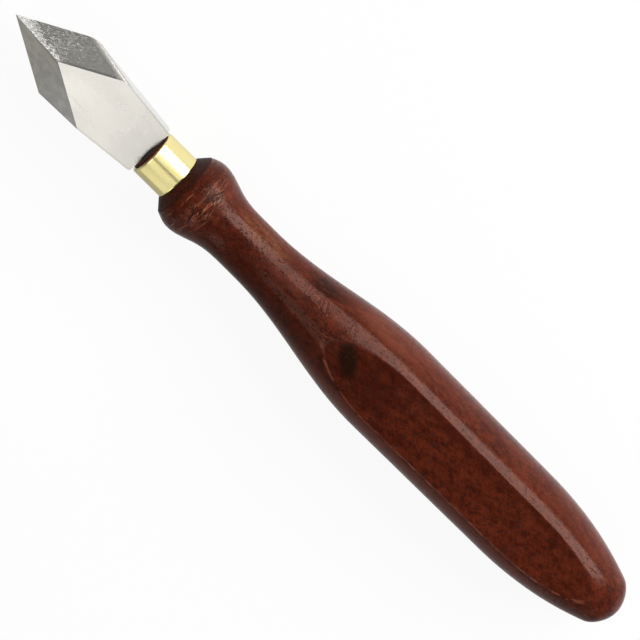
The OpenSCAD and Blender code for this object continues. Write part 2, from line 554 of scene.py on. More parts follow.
def shell(name, rings):
    """A closed piece from rings of points, each joined to the next, with both ends capped."""
    shape = bmesh.new()
    loops = [[shape.verts.new(point) for point in ring] for ring in rings]
    for loop, after in zip(loops, loops[1:]):
        for i in range(len(loop)):
            shape.faces.new([loop[i - 1], loop[i], after[i], after[i - 1]])
    shape.faces.new(loops[0])
    shape.faces.new(loops[-1])
    bmesh.ops.recalc_face_normals(shape, faces=shape.faces)
    mesh = bpy.data.meshes.new(name)
    shape.to_mesh(mesh)
    shape.free()
    return new_piece(name, mesh)


def adhesive_bed():
    """The adhesive that fills the bore up to the tenon's end, before the tang is pressed into it."""
    fill = BORE_RADIUS - GLUE_FIT
    around = 64
    stations = [
        (BLADE_LENGTH + GLUE_FIT, fill),
        (BORE_END, fill),
        (BORE_END + DRILL_TIP * (1 - BED_BLUNT), fill * BED_BLUNT)]
    turns = [2 * math.pi * i / around for i in range(around)]
    rings = []
    for along, radius in stations:
        rings.append([in_frame(along, radius * math.cos(a), radius * math.sin(a)) for a in turns])
    return shell("adhesive_bed", rings)


def adhesive_drop():
    """The drop squeezed out at the blade's base: a ragged curve from the blade's face to the tenon."""
    fill = BORE_RADIUS - 3 * GLUE_FIT
    face = BLADE_THICKNESS / 2
    slices, steps, inset, least = 36, 10, 0.05, 0.04
    rings = []
    for i in range(slices + 1):
        across = mix(-1, 1, i / slices)
        y = DROP_HALF_WIDTH * across
        ragged = 0.85 + 0.1 * math.sin(7 * across + 0.6) + 0.05 * math.sin(17 * across)
        body = math.sqrt(max(0.0, 1 - (across - DROP_SHIFT / DROP_HALF_WIDTH) ** 2))
        run = max(least, DROP_RUN * ragged * body * (1 - across ** 4))
        rise = max(least, (math.sqrt(fill ** 2 - y ** 2) - face) * (1 - across ** 6))
        ring = []
        for j in range(steps + 1):
            t = j / steps
            ring.append(in_frame(BLADE_LENGTH - run * (1 - t), y, face + rise * t ** 1.8))
        ring.append(in_frame(BLADE_LENGTH + inset, y, face + rise))
        ring.append(in_frame(BLADE_LENGTH + inset, y, face - inset))
        ring.append(in_frame(BLADE_LENGTH - run, y, face - inset))
        rings.append(ring)
    return shell("adhesive_drop", rings)


def shape_with(piece, other, operation):
    """Joins another piece to this one, or cuts it out of this one, and keeps one plain closed mesh."""
    step = piece.modifiers.new(operation.lower(), "BOOLEAN")
    step.operation = operation
    step.object = other
    step.solver = "EXACT"
    bake_modifiers(piece)


def make_adhesive(blade, material):
    """The set adhesive: the bed and the drop in one, with the blade's own shape pressed out of it."""
    piece = adhesive_bed()
    drop = adhesive_drop()
    shape_with(piece, drop, "UNION")
    bpy.data.objects.remove(drop)
    shape_with(piece, blade, "DIFFERENCE")
    piece.data.materials.clear()
    piece.data.materials.append(material)
    piece.data.shade_smooth()
    piece.data.set_sharp_from_angle(angle=ADHESIVE_CREASE)
    return piece


# Materials


def rgb(red, green, blue):
    return (red, green, blue, 1.0)


WHITE = rgb(1.0, 1.0, 1.0)


def object_place(tree):
    return add_node(tree, "ShaderNodeTexCoord").outputs["Object"]


def noise(tree, place, detail=2.0, roughness=0.5, distortion=0.0):
    node = add_node(tree, "ShaderNodeTexNoise", {
        "Vector": place, "Scale": 1.0, "Detail": detail, "Roughness": roughness,
        "Distortion": distortion})
    return Field(tree, node.outputs[0])


def most_of(fields):
    """The largest of several fields, place by place."""
    return reduce(Field.at_least, fields)


class Tint:
    """A colour in a node tree, over which further colours are laid."""

    def __init__(self, tree, colour):
        self.tree = tree
        self.colour = colour

    def lay(self, amount, colour):
        node = add_node(self.tree, "ShaderNodeMix", data_type="RGBA")
        sockets = {s.identifier: s for s in node.inputs}
        feed(self.tree, amount, sockets["Factor_Float"])
        feed(self.tree, self.colour, sockets["A_Color"])
        feed(self.tree, colour, sockets["B_Color"])
        self.colour = next(s for s in node.outputs if s.identifier == "Result_Color")


class Surface:
    """A place on a piece, in a node tree that makes patterns there. Sizes are in millimetres."""

    def __init__(self, tree, place):
        self.tree = tree
        self.place = place

    def pattern(self, size, turn=0, centre=(0, 0, 0)):
        """Coordinates in which features have about the given size, turned about Z by degrees."""
        mapping = add_node(self.tree, "ShaderNodeMapping", {
            "Vector": self.place,
            "Location": [c * MM for c in centre],
            "Rotation": (0, 0, math.radians(turn)),
            "Scale": [s * MM for s in size]}, vector_type="TEXTURE")
        return mapping.outputs[0]

    def streaks(self, length, width, turn=0, **character):
        """Noise with features of about the given length and width."""
        return noise(self.tree, self.pattern((length, width, width), turn), **character)

    def patch(self, centre, size, turn=0, ragged=0.0):
        """A soft egg-shaped patch of the given half sizes. Ragged is a field that breaks up its edge."""
        reach = add_node(self.tree, "ShaderNodeVectorMath", {
            0: self.pattern(size, turn, centre)}, operation="LENGTH")
        distance = Field(self.tree, reach.outputs["Value"]) + ragged
        return 1.0 - distance.ramp(0.4, 1.05)

    def patches(self, patches, ragged):
        """The most of several soft patches."""
        return most_of(self.patch(*patch, ragged=ragged) for patch in patches)

    def on_knife(self):
        """Distances along the knife from its point, across it and over the surface it lies on."""
        split = add_node(self.tree, "ShaderNodeSeparateXYZ", {"Vector": self.pattern((1, 1, 1))})
        along, across, height = (Field(self.tree, socket) for socket in split.outputs)
        return along + OVERALL_LENGTH / 2, across, height

    def effect(self, group, inputs):
        """Puts a node group at this place and returns its outputs as fields, in their order."""
        node = add_node(
            self.tree, "ShaderNodeGroup", {"Place": self.place, **inputs}, node_tree=group)
        return [Field(self.tree, socket) for socket in node.outputs]


class Finish(Surface):
    """A material of its own, with patterns on Object coordinates."""

    def __init__(self, name):
        self.material = bpy.data.materials.new(name)
        self.material.use_nodes = True
        tree = self.material.node_tree
        self.shader = tree.nodes["Principled BSDF"].inputs
        super().__init__(tree, object_place(tree))

    def bump(self, height, strength, distance):
        """A normal from a height field."""
        node = add_node(self.tree, "ShaderNodeBump", {
            "Height": height, "Strength": strength, "Distance": distance * MM})
        return node.outputs["Normal"]

    def dress(self, tint, roughness, normal=None):
        """Gives the shader its colour, roughness and normal, and returns the material."""
        feed(self.tree, tint.colour, self.shader["Base Color"])
        feed(self.tree, roughness, self.shader["Roughness"])
        if normal is not None:
            feed(self.tree, normal, self.shader["Normal"])
        return self.material


def make_scratches():
    """A group for fine straight scratches: a height, and a mask of the deeper ones."""
    group = bpy.data.node_groups.new("fine_scratches", "ShaderNodeTree")
    add_sockets(group, "INPUT", {"Place": "NodeSocketVector"})
    add_sockets(group, "OUTPUT", {"Height": "NodeSocketFloat", "Deep": "NodeSocketFloat"})
    given = add_node(group, "NodeGroupInput").outputs
    fine = noise(group, given["Place"], detail=3.0, roughness=0.6)
    wider = add_node(
        group, "ShaderNodeVectorMath", {0: given["Place"], "Scale": 0.37}, operation="SCALE")
    coarse = noise(group, wider.outputs[0])
    height = fine * 0.6 + coarse * 0.4
    add_node(group, "NodeGroupOutput", {"Height": height, "Deep": height.ramp(0.58, 0.7)})
    return group


def make_handling():
    """A group for what hands leave on a tool: a cloudy film, and how much it dulls the surface."""
    group = bpy.data.node_groups.new("handling_film", "ShaderNodeTree")
    add_sockets(group, "INPUT", {"Place": "NodeSocketVector", "Amount": "NodeSocketFloat"})
    add_sockets(group, "OUTPUT", {"Film": "NodeSocketFloat", "Dulling": "NodeSocketFloat"})
    given = add_node(group, "NodeGroupInput").outputs
    surface = Surface(group, given["Place"])
    film = surface.streaks(9, 6, detail=4.0, roughness=0.6).ramp(0.35, 0.75)
    dulling = film * Field(group, given["Amount"])
    add_node(group, "NodeGroupOutput", {"Film": film, "Dulling": dulling})
    return group


def make_edge_wear():
    """A group for edges that hands have rubbed: a mask of where the surface turns sharply outwards."""
    group = bpy.data.node_groups.new("edge_wear", "ShaderNodeTree")
    add_sockets(group, "INPUT", {
        "Place": "NodeSocketVector", "From": "NodeSocketFloat", "Full": "NodeSocketFloat"})
    add_sockets(group, "OUTPUT", {"Wear": "NodeSocketFloat"})
    given = add_node(group, "NodeGroupInput").outputs
    sharpness = Field(group, add_node(group, "ShaderNodeNewGeometry").outputs["Pointiness"])
    rubbed = sharpness.ramp(Field(group, given["From"]), Field(group, given["Full"]))
    patchy = Surface(group, given["Place"]).streaks(5, 2, detail=3.0).ramp(0.3, 0.6)
    add_node(group, "NodeGroupOutput", {"Wear": rubbed * patchy})
    return group


# Steel

STEEL = rgb(0.735, 0.71, 0.655)
STEEL_WARM = rgb(0.80, 0.765, 0.68)
STEEL_BRIGHT = rgb(0.88, 0.875, 0.86)
# Dark steel: for the handling film and deep scratches, and for the marks and lines of painted shade on
# the blade
STEEL_DULL_AND_SHADE = rgb(0.34, 0.335, 0.32)
# The smear at the blade's base: adhesive, darkened further as painted shade
GLUE_SMEAR_AND_SHADE = rgb(0.05, 0.05, 0.042)
SCRATCH_DEPTH = 0.05


def inside_side(surface):
    """How far a place lies inside the nearer side of the blade's plan, in mm."""
    along, across, _ = surface.on_knife()
    shoulder = BLADE_WIDTH / 2 / math.tan(HALF_POINT)
    taper = (BLADE_WIDTH - BASE_WIDTH) / 2 / (BLADE_LENGTH - shoulder)
    side = (along - shoulder) * -taper + BLADE_WIDTH / 2
    return side - across.size()


def painted_side_shade(surface):
    """A line of painted shade along the sides of the blade."""
    return (1.0 - inside_side(surface).ramp(0.15, 0.6)) * 0.4


def painted_ridge_shade(surface):
    """A line of painted shade along the ridge between the bevels, which fades out towards the point."""
    along, across, _ = surface.on_knife()
    on_ridge = 1.0 - across.size().ramp(0.15, 0.8)
    stretch_of_ridge = along.ramp(4.0, 8.0) * (1.0 - along.ramp(14.5, 15.5))
    return on_ridge * stretch_of_ridge * 0.5


def painted_top_shade(surface, amount):
    """A line of painted shade where a bevel meets the face."""
    top = AXIS_HEIGHT + BLADE_THICKNESS / 2
    height = surface.on_knife()[2]
    return height.ramp(top - 0.34, top - 0.06) * amount


def edge_marks(surface):
    """On the rubbed edges: painted shade where the wide rounding leaves the bevel, and along sides and
    ridge.
    """
    along, across, _ = surface.on_knife()
    wide = across.ramp(4.0, 5.0) * (1.0 - along.ramp(22.0, 23.0))
    painted_shade_by_bevel = inside_side(surface).ramp(0.5, 1.7) * wide * 0.6
    return None, most_of([painted_shade_by_bevel, painted_side_shade(surface), painted_ridge_shade(surface)]), STEEL_DULL_AND_SHADE


def face_marks(surface):
    """On the face: a dark smear at the middle of its base, partly adhesive and partly painted shade, and
    painted shade along its sides.
    """
    along, across, _ = surface.on_knife()
    blots = surface.streaks(0.7, 0.7, detail=3.0, roughness=0.65)
    reach = along + (blots - 0.5) * 1.6
    near_base = reach.ramp(BLADE_LENGTH - 1.0, BLADE_LENGTH - 0.1)
    near_middle = 1.0 - (across - DROP_SHIFT).size().ramp(1.2, 4.4)
    # Partly adhesive, partly painted shade where the blade meets the ferrule
    smear_and_shade = near_base * near_middle * 0.75
    return None, smear_and_shade.at_least(painted_side_shade(surface) * 0.4), GLUE_SMEAR_AND_SHADE


def left_bevel_marks(surface):
    """On the near bevel: scuffs away from the point, laid paler towards the base as painted light too,
    dull clouds, and painted shade along its ridge and top.
    """
    clouds = surface.streaks(2.5, 1.6, detail=4.0, roughness=0.6)
    # Paler towards the base: scuffs, and painted light
    scuffs_and_painted_light = surface.on_knife()[0].ramp(10.0, 20.0) * 0.8
    dull = clouds.ramp(0.35, 0.65) * 0.3
    return scuffs_and_painted_light, most_of([dull, painted_top_shade(surface, 0.3), painted_ridge_shade(surface)]), STEEL_DULL_AND_SHADE


def right_bevel_marks(surface):
    """On the far bevel: scuffs of a coarse stone, most of them at its point and its ridge, with painted
    glints among them, and painted shade where it meets the face.
    """
    from_point, from_ridge, _ = surface.on_knife()
    at_point = 1.0 - (from_point + from_ridge * 3.0).ramp(5.0, 13.0)
    at_ridge = 1.0 - from_ridge.ramp(0.2, 1.5)
    at_half = 1.0 - from_point.ramp(8.0, 19.0)
    specks = surface.streaks(0.6, 0.3, 24, detail=3.0, roughness=0.65)
    dashes = surface.streaks(0.9, 0.2, 27, detail=3.0, roughness=0.65)
    at_point = at_point * (specks.ramp(0.3, 0.55) * 0.6 + 0.4)
    # Glints: painted highlights, laid with the scuffs
    glints = dashes.ramp(0.5, 0.64) * (at_half * 0.4 + 0.2)
    scuffs_and_painted_light = at_point.at_least(at_ridge * specks.ramp(0.4, 0.6)) + glints
    dark = (1.0 - dashes.ramp(0.36, 0.48)) * (at_half * 0.3 + 0.4)
    return scuffs_and_painted_light, dark.at_least(painted_top_shade(surface, 0.85)), STEEL_DULL_AND_SHADE


def steel(name, scratch, roughness, turn=0, relief=0.0, colour=STEEL, marks=None, contrast=0.04):
    """Ground tool steel with scratches of the given size in millimetres, turned about Z.

    Marks is a function that gives a field of scuffs and painted light, or None, a field of dark marks
    and painted shade, and their colour.
    """
    surface = Finish(name)
    height, deep = surface.effect(SCRATCHES, {"Place": surface.pattern(scratch, turn)})
    film, dulling = surface.effect(HANDLING, {"Amount": 0.04})
    tint = Tint(surface.tree, colour)
    tint.lay(film * 0.05 + deep * contrast, STEEL_DULL_AND_SHADE)
    rough = dulling + deep * 0.06 + roughness
    scuffs_and_painted_light, dark_marks_and_shade, dark_marks_and_shade_colour = marks(surface) if marks else (None, None, None)
    # Scuffs: rougher, raised and laid paler, the paleness partly painted light
    if scuffs_and_painted_light:
        rough = rough + scuffs_and_painted_light * 0.34
        height = height + scuffs_and_painted_light * 0.8
        tint.lay(scuffs_and_painted_light * 0.8, STEEL_BRIGHT)
    # Dark marks, and painted shade
    if dark_marks_and_shade:
        tint.lay(dark_marks_and_shade, dark_marks_and_shade_colour)
    surface.shader["Metallic"].default_value = 1.0
    normal = surface.bump(height, relief, SCRATCH_DEPTH) if relief else None
    return surface.dress(tint, rough, normal)


# Brass and adhesive

BRASS = rgb(0.93, 0.815, 0.385)
BRASS_HANDLED = rgb(0.8, 0.64, 0.25)
BRASS_RUBBED = rgb(0.95, 0.86, 0.52)
ADHESIVE_DARK = rgb(0.02, 0.02, 0.014)
ADHESIVE_PALE = rgb(0.075, 0.06, 0.04)


def brass():
    """Polished brass with fine scratches round it and paler rubbed edges."""
    surface = Finish("ferrule_brass_polished")
    height, _ = surface.effect(SCRATCHES, {"Place": surface.pattern((0.12, 2.5, 2.5))})
    film, dulling = surface.effect(HANDLING, {"Amount": 0.05})
    [wear] = surface.effect(EDGE_WEAR, {"From": 0.52, "Full": 0.6})
    tint = Tint(surface.tree, BRASS)
    tint.lay(film * 0.2, BRASS_HANDLED)
    tint.lay(wear * 0.5, BRASS_RUBBED)
    surface.shader["Metallic"].default_value = 1.0
    return surface.dress(tint, dulling + 0.2, surface.bump(height, 0.04, SCRATCH_DEPTH))


def adhesive():
    """Dark set adhesive, lumpy and dull."""
    surface = Finish("adhesive_set_dark")
    lumps = surface.streaks(0.8, 0.8, detail=3.0)
    _, dulling = surface.effect(HANDLING, {"Amount": 0.2})
    tint = Tint(surface.tree, ADHESIVE_DARK)
    tint.lay(lumps.ramp(0.4, 0.7), ADHESIVE_PALE)
    return surface.dress(tint, dulling + 0.4, surface.bump(lumps, 0.4, 0.2))


# Wood

WOOD_DEEP = rgb(0.030, 0.0040, 0.0016)
WOOD_WARM = rgb(0.102, 0.0165, 0.0062)
WOOD_LIGHT = rgb(0.150, 0.0285, 0.0135)
WOOD_LINE = rgb(0.036, 0.0058, 0.0026)
WOOD_CRACK = rgb(0.012, 0.0026, 0.0014)
WOOD_FLECK = rgb(0.20, 0.055, 0.030)
WOOD_LIP = rgb(0.36, 0.15, 0.08)
WOOD_TAN = rgb(0.21, 0.085, 0.036)
WOOD_KNOT = rgb(0.011, 0.0042, 0.0018)
OIL_SHEEN = rgb(1.0, 0.74, 0.64)
OIL_SHEEN_LEVEL = 0.16
# Middle of the tree that the wood was cut from, across the knife and over the surface it lies on
PITH_ACROSS = -14.0
PITH_HEIGHT = -30.0
RING_SPACING = 1.9
# Patches of the wood, and of painted light and shade where said below: centre and half sizes in the
# part's own frame, and turn about Z in degrees if any
# Paler patches on the far side: wood figure, and painted light where that side faces the lamps
PALE_AND_LIT_PATCHES = (
    ((-22, 7, 12), (13, 5, 7)),
    ((17, 11, 12), (19, 6, 9)),
    ((74, 9, 11), (16, 6, 8)))
# Darker patches: painted shade on the far side in front of the flats, and darker wood at the front of
# the flat
DARK_AND_SHADED_PATCHES = (
    ((-4, 8, 13), (7, 4, 5)),
    ((13, -1, 18), (15, 8, 5)))
TAN_PATCH = ((-22, 5.5, 13), (8, 2.6, 4))
ROSE_PATCH = ((10, 9.6, 13.6), (12, 2.6, 4.6))
# A spot of painted shade on the far side in front of the flats
PAINTED_SHADE_SPOT = ((-5.6, 6.5, 13.1), (4.2, 2.4, 2.8))
PITTED_PATCH = ((1.5, 1.4, 17.3), (10, 3.0, 3.0))
DULL_PATCH = ((-16, 4, 14.5), (6, 5, 5))
KNOT = ((8.0, 0.4, ACROSS_FLATS), (5.0, 3.0, 3.8), -40)
TORN_PATCH = ((-34.4, 2.6, 17.4), (4.5, 6.0, 5.0))
# Splits in the bead's grain
SPLITS = (
    ((-34.4, 2.6, 17.4), (0.42, 6.0, 6.0), -10),
    ((-33.4, 0.2, 17.7), (0.34, 2.8, 2.8), 34),
    ((-35.6, 5.6, 16.2), (0.34, 2.6, 3.0), -30),
    ((-36.4, -1.6, 17.8), (0.3, 2.2, 2.4), 16))
# Rings that the turning tool left, as distances from the knife's point
TURNING_LINES = (50.6, 52.6, 54.4, 56.6)


def growth_lines(surface):
    """Thin dark lines where the bent growth layers come to the surface."""
    _, across, height = surface.on_knife()
    across = across - PITH_ACROSS
    height = height - PITH_HEIGHT
    bend = (surface.streaks(20, 7) - 0.5) * 12
    from_pith = (across * across + height * height).math("SQRT") + bend
    layers = (from_pith * (2 * math.pi / RING_SPACING)).math("SINE") * 0.5 + 0.5
    return layers.ramp(0.5, 1.0)


def ripple(surface):
    """Short bars across the grain, in drifting patches, as interlocked grain shows them."""
    bars = surface.streaks(0.5, 1.9, 26, distortion=0.5)
    where = surface.streaks(7, 4, detail=1.0).ramp(0.42, 0.62)
    return bars.ramp(0.48, 0.64) * where


def curls(surface):
    """Short curled strokes of paler wood, in patches."""
    strokes = surface.streaks(0.9, 0.42, 40, distortion=2.2)
    where = surface.streaks(6, 4, detail=1.0).ramp(0.44, 0.6)
    return strokes.ramp(0.56, 0.68) * where


def torn_grain(surface):
    """Where the tool tore the bead's grain: fields of thin cracks across it and of their pale lips."""
    lie = surface.streaks(0.9, 3.6, 6, detail=3.0, distortion=0.4)
    where = surface.streaks(3.4, 3.4, detail=1.0).ramp(0.42, 0.58) * 0.4
    where = where.at_least(surface.patch(*TORN_PATCH))
    crack = (1.0 - (lie - 0.45).size().ramp(0.02, 0.07)) * where * 0.85
    splits = surface.patches(SPLITS, (lie - 0.5) * 1.2)
    lip = (1.0 - (lie - 0.56).size().ramp(0.01, 0.036)) * where
    return crack.at_least(splits), lip


def turning_rings(surface, along):
    """Pale broken rings that the turning tool left on the bead."""
    drift = (surface.streaks(4, 4, detail=1.0) - 0.5) * 0.6
    broken = surface.streaks(2.5, 2.5).ramp(0.46, 0.62)
    rings = most_of(1.0 - (along - line + drift).size().ramp(0.05, 0.2) for line in TURNING_LINES)
    return rings * broken


def depth_below_flat(along, height):
    """How far the surface lies below the plane of the nearer flat, in mm."""
    eased = (along - (OVERALL_LENGTH - FLAT_EASE)).at_least(0.0)
    drop = FLAT_EASE_RADIUS - (FLAT_EASE_RADIUS ** 2 - eased * eased).math("SQRT")
    from_axis = (height - AXIS_HEIGHT).size()
    return ACROSS_FLATS / 2 - drop - from_axis


def handle_zones(surface):
    """Distances on the handle, and masks of its stretches and sides."""
    along, across, height = surface.on_knife()
    cone_end = FRONT_FACE + CONE_LENGTH
    bead_end = FRONT_FACE + WAIST_AT / 2
    waist = FRONT_FACE + WAIST_AT
    cone = 1.0 - along.ramp(cone_end - 0.06, cone_end + 0.1)
    bead = 1.0 - along.ramp(bead_end - 6, bead_end + 1)
    return SimpleNamespace(
        along=along,
        across=across,
        below_flat=depth_below_flat(along, height),
        cone=cone,
        front=1.0 - along.ramp(cone_end + 2, cone_end + 5),
        bead=bead,
        bead_only=bead * (1.0 - cone),
        neck=1.0 - along.ramp(waist + 10, waist + 30),
        far_side=across.ramp(2.0, 6.0))


def wood_figure(surface, zone):
    """The marks of the wood that its colour and its surface both follow."""
    mottle = surface.streaks(3.0, 1.8, 16, detail=4.0, roughness=0.62)
    ragged = (mottle - 0.5) * 0.9
    knot = surface.patch(*KNOT, ragged=(mottle - 0.5) * 0.6)
    pores = surface.streaks(0.8, 0.4, detail=1.0).ramp(0.63, 0.67)
    pits = surface.streaks(0.6, 0.45).ramp(0.55, 0.64)
    crack, lip = torn_grain(surface)
    rings = turning_rings(surface, zone.along)
    return SimpleNamespace(
        mottle=mottle,
        ragged=ragged,
        # Paler wood on the far side, partly painted light
        light=surface.patches(PALE_AND_LIT_PATCHES, ragged),
        dabs=surface.streaks(1.8, 0.7, -36, roughness=0.6, distortion=0.8),
        strokes=surface.streaks(3.4, 0.55, 10, detail=3.0, distortion=1.2),
        bars=ripple(surface),
        knot=knot,
        pores=pores * (1.0 - zone.far_side * 0.45) * (1.0 - knot),
        pits=pits * surface.patch(*PITTED_PATCH),
        crack=crack * zone.bead_only,
        lip=lip.at_least(rings * 0.8) * zone.bead_only)


def wood_tones_and_painted_light(surface, zone, figure):
    """The wood's colour in broad tones and patches, with painted light over its far side, and painted
    shade on the near side of the neck and in patches on the far side.
    """
    tones = surface.streaks(16, 5)
    tone = (tones.ramp(0.35, 0.65) * 0.2 + figure.mottle.ramp(0.38, 0.62) * 0.48
            + figure.dabs.ramp(0.38, 0.62) * 0.36 + zone.bead_only * 0.2)
    painted_far_side_light = zone.across.ramp(4.0, 8.0) * 0.05
    tan = surface.patch(*TAN_PATCH, ragged=figure.ragged) * figure.strokes.ramp(0.38, 0.56)
    rose = surface.patch(*ROSE_PATCH, ragged=figure.ragged)
    dark = surface.patches(DARK_AND_SHADED_PATCHES, figure.ragged)
    # Painted shade on the near side of the neck
    painted_shade_low_neck = zone.neck * (1.0 - zone.bead) * (1.0 - zone.across.ramp(-1.0, 5.0))
    painted_shade_spot = surface.patch(*PAINTED_SHADE_SPOT, ragged=figure.ragged)
    tint = Tint(surface.tree, WOOD_DEEP)
    tint.lay(tone, WOOD_WARM)
    # Paler wood patches, partly painted light, and painted light along the far side
    tint.lay((figure.light * 0.28).at_least(painted_far_side_light), WOOD_LIGHT)
    tint.lay(tan * 0.5, WOOD_TAN)
    tint.lay(rose * (figure.strokes.ramp(0.36, 0.56) * 0.28 + 0.14), WOOD_FLECK)
    # Darker wood, and painted shade on the far side and on the near side of the neck
    tint.lay((dark * 0.55).at_least(painted_shade_low_neck * 0.5), WOOD_DEEP)
    # Painted shade in a spot on the far side
    tint.lay(painted_shade_spot * 0.75, WOOD_CRACK)
    return tint


def lay_grain(surface, zone, figure, tint):
    """The marks of the grain, from its long strokes to its pores, and the knot."""
    dark_strokes = figure.strokes.ramp(0.5, 0.66)
    pale_strokes = 1.0 - figure.strokes.ramp(0.34, 0.46)
    tint.lay(dark_strokes * (zone.far_side * 0.18 + 0.12), WOOD_LINE)
    tint.lay(pale_strokes * (zone.far_side * 0.1 + 0.06), WOOD_FLECK)
    tint.lay(growth_lines(surface) * (figure.light * 0.25 + 0.06), WOOD_LINE)
    tint.lay(figure.bars * (zone.neck * 0.3 + 0.15), WOOD_LINE)
    tint.lay(curls(surface) * (zone.bead_only * -0.16 + 0.32), WOOD_FLECK)
    tint.lay(figure.lip * 0.6, WOOD_LIP)
    tint.lay(figure.crack * 0.95, WOOD_CRACK)
    tint.lay(figure.pores.at_least(figure.pits * 0.8) * 0.8, WOOD_CRACK)
    tint.lay(figure.knot * 0.9, WOOD_KNOT)


def lay_wear_and_painted_light(surface, zone, tint):
    """Painted shade on the far side of the bead's front, a dark cone of end grain with painted shade on
    it, painted light on the near flank, a pale line on the near arris that is partly rubbed wear and
    partly a painted highlight, and a darker band on the flat along its far arris.
    """
    across, below = zone.across, zone.below_flat
    painted_near_flank_light = below.ramp(0.1, 0.4) * (1.0 - across.ramp(-7.5, -5.5))
    [wear] = surface.effect(EDGE_WEAR, {"From": 0.506, "Full": 0.53})
    arris = below.ramp(0.02, 0.06) * (1.0 - below.ramp(0.1, 0.3))
    broken = surface.streaks(2.4, 1.3, detail=3.0).ramp(0.42, 0.58)
    near_side = 1.0 - across.ramp(-3.0, 1.0)
    under_strip = (1.0 - below.ramp(0.04, 0.16)) * across.ramp(3.0, 6.2)
    # Painted shade on the far side of the bead's front
    tint.lay(zone.front * zone.far_side * 0.4, WOOD_DEEP)
    # The cone darker: its end grain, and painted shade, most on the far side
    tint.lay(zone.cone * (zone.far_side * 0.5 + 0.12), WOOD_CRACK)
    # Painted light on the near flank
    tint.lay(painted_near_flank_light * (1.0 - zone.bead) * 0.5, WOOD_LIGHT)
    # A pale line on the near arris: rubbed wear, and a painted highlight
    tint.lay(wear.at_least(arris) * broken * near_side * 0.8, WOOD_FLECK)
    tint.lay(under_strip * 0.5, WOOD_DEEP)


def wood_relief(zone, figure):
    """A height field of the wood's surface, in which cracks, pores and pits are low."""
    waves = figure.mottle * (zone.neck * 0.4 + 0.5) + figure.dabs * 0.25
    raised = figure.strokes * zone.neck * 0.4 + figure.lip * 0.48
    sunk = (figure.pores * 0.6 + figure.pits * 0.6 + figure.crack * 0.8
            + figure.bars * (zone.neck * 0.3 + 0.1))
    return waves + raised - sunk


def rosewood():
    """Oiled rosewood: broad tones, the marks of its grain, wear, and painted light and shade."""
    surface = Finish("handle_rosewood_oiled")
    zone = handle_zones(surface)
    figure = wood_figure(surface, zone)
    tint = wood_tones_and_painted_light(surface, zone, figure)
    lay_grain(surface, zone, figure, tint)
    lay_wear_and_painted_light(surface, zone, tint)
    _, dulling = surface.effect(HANDLING, {"Amount": 0.05})
    dull = surface.patch(*DULL_PATCH, ragged=figure.ragged)
    open_grain = most_of([figure.crack, figure.pores, figure.pits])
    rough = (dulling + figure.mottle * 0.06 + dull * 0.14 + open_grain * 0.5
             + zone.cone * 0.4 + 0.095)
    surface.shader["Specular IOR Level"].default_value = OIL_SHEEN_LEVEL
    surface.shader["Specular Tint"].default_value = OIL_SHEEN
    return surface.dress(tint, rough, surface.bump(wood_relief(zone, figure), 0.45, 0.1))


# Stage

FLOOR_HALF = 4.0
FLOOR_COLOUR = rgb(0.88, 0.88, 0.88)
FLOOR_SEEN_WHITE = 0.92
# The floor's brightness in glossy and transmission rays, dimmer at the near side: a painted shadow of
# the knife
FLOOR_MIRRORED_NEAR = 0.44
FLOOR_MIRRORED_FAR = 1.0
# Half the width over which the floor's mirrored brightness changes, under the knife
FLOOR_CHANGE = 0.02
WORLD_OVERHEAD = 0.12
WORLD_HORIZON = 0.66
WORLD_PAST_POINT = 0.2
WORLD_NEAR_SIDE = 0.55
PANEL_HEIGHT = 0.7
SOFTBOX_ANGLE = 57
SOFTBOX_DISTANCE = 0.9
SOFTBOX_WIDTH = 0.6


def make_floor():
    """A pale floor that keeps the knife's shadow and reads as white; in what mirrors it, it is dimmer at
    the near side, a painted shadow of the knife.
    """
    mesh = bpy.data.meshes.new("floor")
    reach = FLOOR_HALF
    mesh.from_pydata(
        [(-reach, -reach, 0), (reach, -reach, 0), (reach, reach, 0), (-reach, reach, 0)],
        [], [(0, 1, 2, 3)])
    floor = new_piece("floor", mesh)
    material = bpy.data.materials.new("floor_white")
    material.use_nodes = True
    tree = material.node_tree
    tree.nodes.remove(tree.nodes["Principled BSDF"])
    paper = add_node(tree, "ShaderNodeBsdfDiffuse", {"Color": FLOOR_COLOUR})
    path = add_node(tree, "ShaderNodeLightPath").outputs
    across = add_node(tree, "ShaderNodeSeparateXYZ", {"Vector": object_place(tree)}).outputs["Y"]
    far_side = Field(tree, across).ramp(-FLOOR_CHANGE, FLOOR_CHANGE)
    # Painted shadow: in glossy and transmission rays the floor is dimmer at the near side
    shine = far_side * (FLOOR_MIRRORED_FAR - FLOOR_MIRRORED_NEAR) + FLOOR_MIRRORED_NEAR
    mirrored = Field(tree, path["Is Glossy Ray"]).at_least(Field(tree, path["Is Transmission Ray"]))
    strength = Field(tree, path["Is Camera Ray"]).at_least(mirrored * shine)
    white = add_node(tree, "ShaderNodeEmission", {"Color": WHITE, "Strength": strength})
    seen = Field(tree, path["Is Camera Ray"]) * FLOOR_SEEN_WHITE
    both = add_node(tree, "ShaderNodeMixShader", {0: seen.at_least(mirrored)})
    feed(tree, paper.outputs[0], both.inputs[1])
    feed(tree, white.outputs[0], both.inputs[2])
    feed(tree, both.outputs[0], tree.nodes["Material Output"].inputs["Surface"])
    mesh.materials.append(material)


